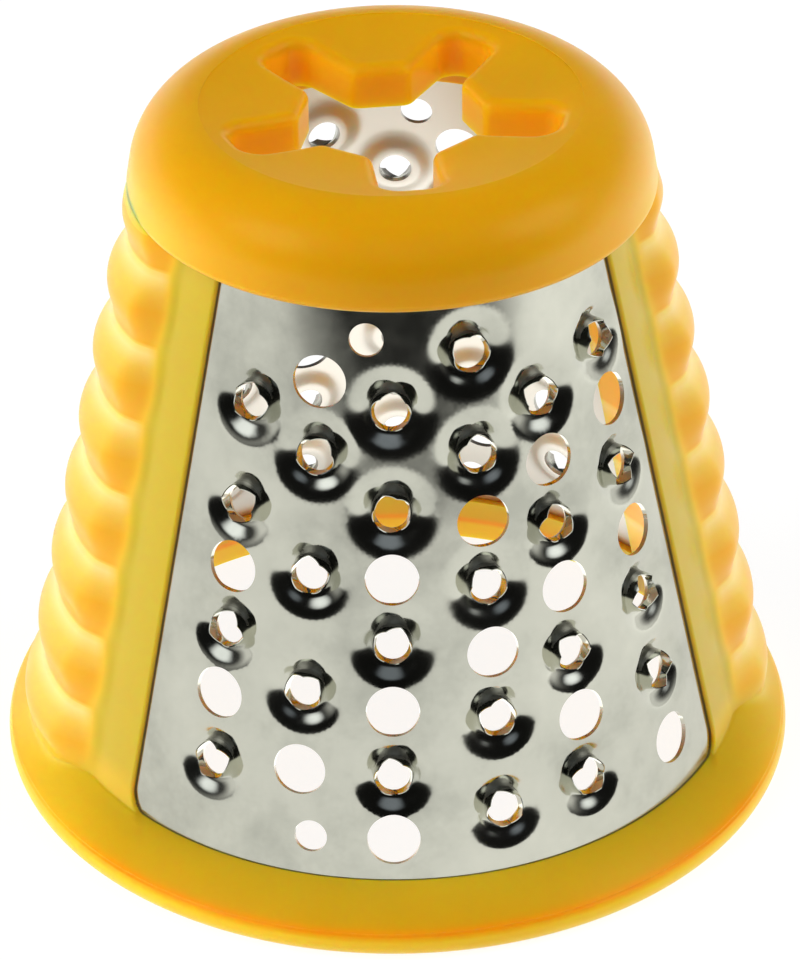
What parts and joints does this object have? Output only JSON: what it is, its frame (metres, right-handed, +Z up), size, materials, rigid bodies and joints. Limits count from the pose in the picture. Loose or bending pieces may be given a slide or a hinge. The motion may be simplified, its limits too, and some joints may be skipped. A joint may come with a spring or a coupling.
{
  "type": "grater cone",
  "caption": "Conical grater drum for a food processor: moulded plastic frame with ridged grip ribs, star drive socket in the cap and pressed steel panels of dished, pointed teeth and holes.",
  "frame": {"origin": "on the cone's axis, in the plane of the base rim it stands on", "axes": "+Z up the axis to the cap; the middle of the front window faces -Y; the two grip ribs lie on -X and +X"},
  "size_m": [0.0906, 0.0906, 0.0816],
  "materials": {
    "yellow_plastic": "gloss",
    "steel": "satin"
  },
  "bodies": {
    "root": {"frame": "yellow_plastic", "grater_panel_front": "steel", "grater_panel_back": "steel"}
  },
  "joints": []
}
